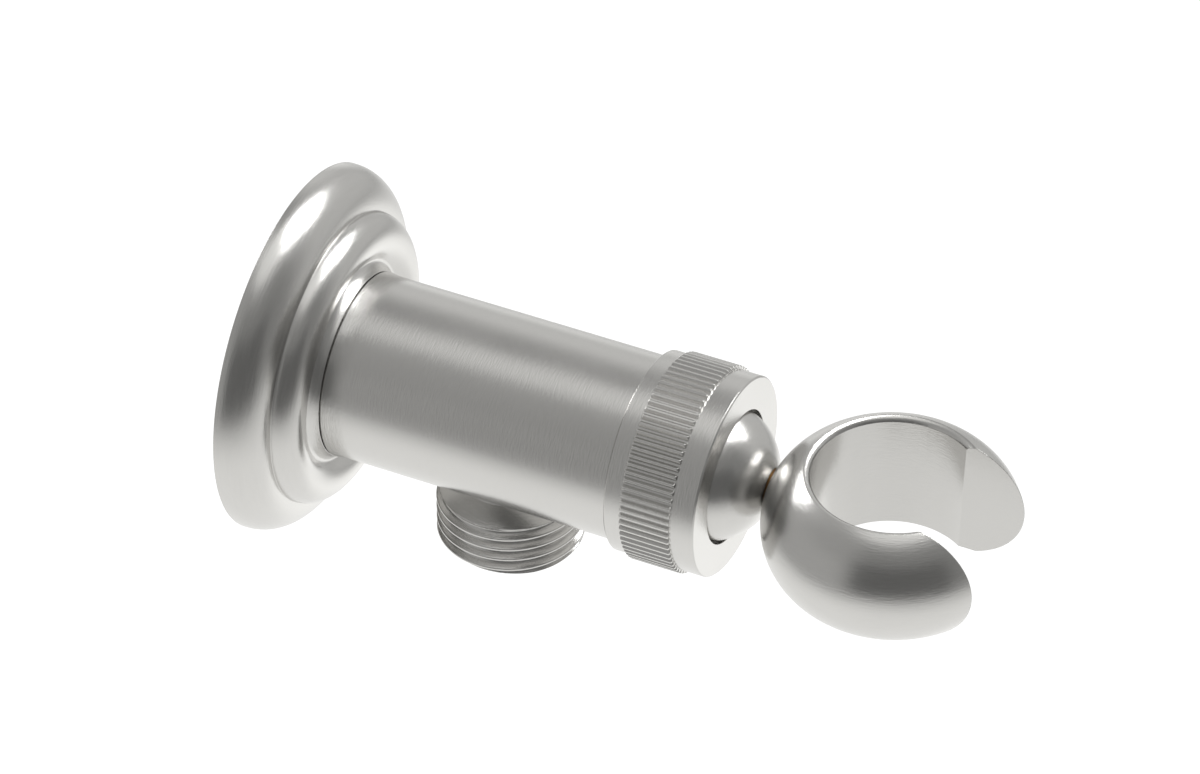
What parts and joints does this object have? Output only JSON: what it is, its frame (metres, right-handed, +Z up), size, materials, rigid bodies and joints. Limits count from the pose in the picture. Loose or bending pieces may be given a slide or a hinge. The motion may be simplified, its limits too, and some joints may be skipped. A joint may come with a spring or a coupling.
{
  "type": "hand shower holder",
  "caption": "Wall-mounted hand shower holder: round flange, tubular water outlet with hose thread below, ball joint with knurled nut, open ring cradle.",
  "frame": {"origin": "centre of the inlet thread's mouth, on the wall plane and on the axis of the tubular body", "axes": "+Y points into the wall along the body's axis, the body stands out along -Y, +Z is up and the hose outlet points along -Z"},
  "size_m": [0.0526, 0.1044, 0.0526],
  "materials": {
    "satin_nickel": "satin nickel plate on brass",
    "black_rubber": "moulded",
    "white_foam_rubber": "flat sheet",
    "white_acetal": "turned",
    "valve_blue": "moulded",
    "spring_steel": "drawn wire",
    "washer_brass": "stamped"
  },
  "bodies": {
    "holder": {"wall_flange": "satin_nickel", "wall_gasket": "white_foam_rubber", "flange_o_ring": "black_rubber", "holder_body": "satin_nickel", "outlet_nipple": "satin_nickel", "nipple_o_ring": "black_rubber", "valve_housing": "valve_blue", "valve_o_ring": "black_rubber", "valve_guide": "white_acetal", "valve_spring": "spring_steel", "rear_disc_spring": "spring_steel", "front_disc_spring": "spring_steel"},
    "nut_carrier": {"front_ball_seat": "white_acetal"},
    "nut": {"knurled_nut": "satin_nickel"},
    "rear_seat": {"rear_ball_seat": "white_acetal"},
    "ball": {"swivel_ball": "satin_nickel", "friction_washer": "washer_brass", "stud_snap_ring": "spring_steel"},
    "cradle_body": {"cradle": "satin_nickel"},
    "poppet": {"valve_poppet": "white_acetal", "valve_seal": "black_rubber"}
  },
  "joints": [
    {"name": "nut_travel", "type": "slide", "parent": "holder", "child": "nut_carrier", "axis": [0, -1, 0], "range_m": [0, 0.0015]},
    {"name": "nut_turn", "type": "hinge", "parent": "nut_carrier", "child": "nut", "pos_m": [0, -0.0593, 0], "axis": [0, -1, 0], "range_deg": [0, 360]},
    {"name": "ball_roll", "type": "hinge", "parent": "holder", "child": "rear_seat", "pos_m": [0, -0.06193, 0], "axis": [0, -1, 0], "continuous": true},
    {"name": "ball_tilt", "type": "hinge", "parent": "rear_seat", "child": "ball", "pos_m": [0, -0.06193, 0], "axis": [1, 0, 0], "range_deg": [-25, 25]},
    {"name": "cradle_turn", "type": "hinge", "parent": "ball", "child": "cradle_body", "pos_m": [0, -0.0735, 0], "axis": [0, -1, 0], "continuous": true},
    {"name": "valve_opening", "type": "slide", "parent": "holder", "child": "poppet", "axis": [0, 0, -1], "range_m": [0, 0.0018], "stiffness_N_per_m": 150, "springref_m": -0.001, "deforming": ["valve_spring"]}
  ],
  "couplings": [
    {"joint": "nut_travel", "follows": "nut_turn", "m_per_rad": 0.0002387}
  ]
}
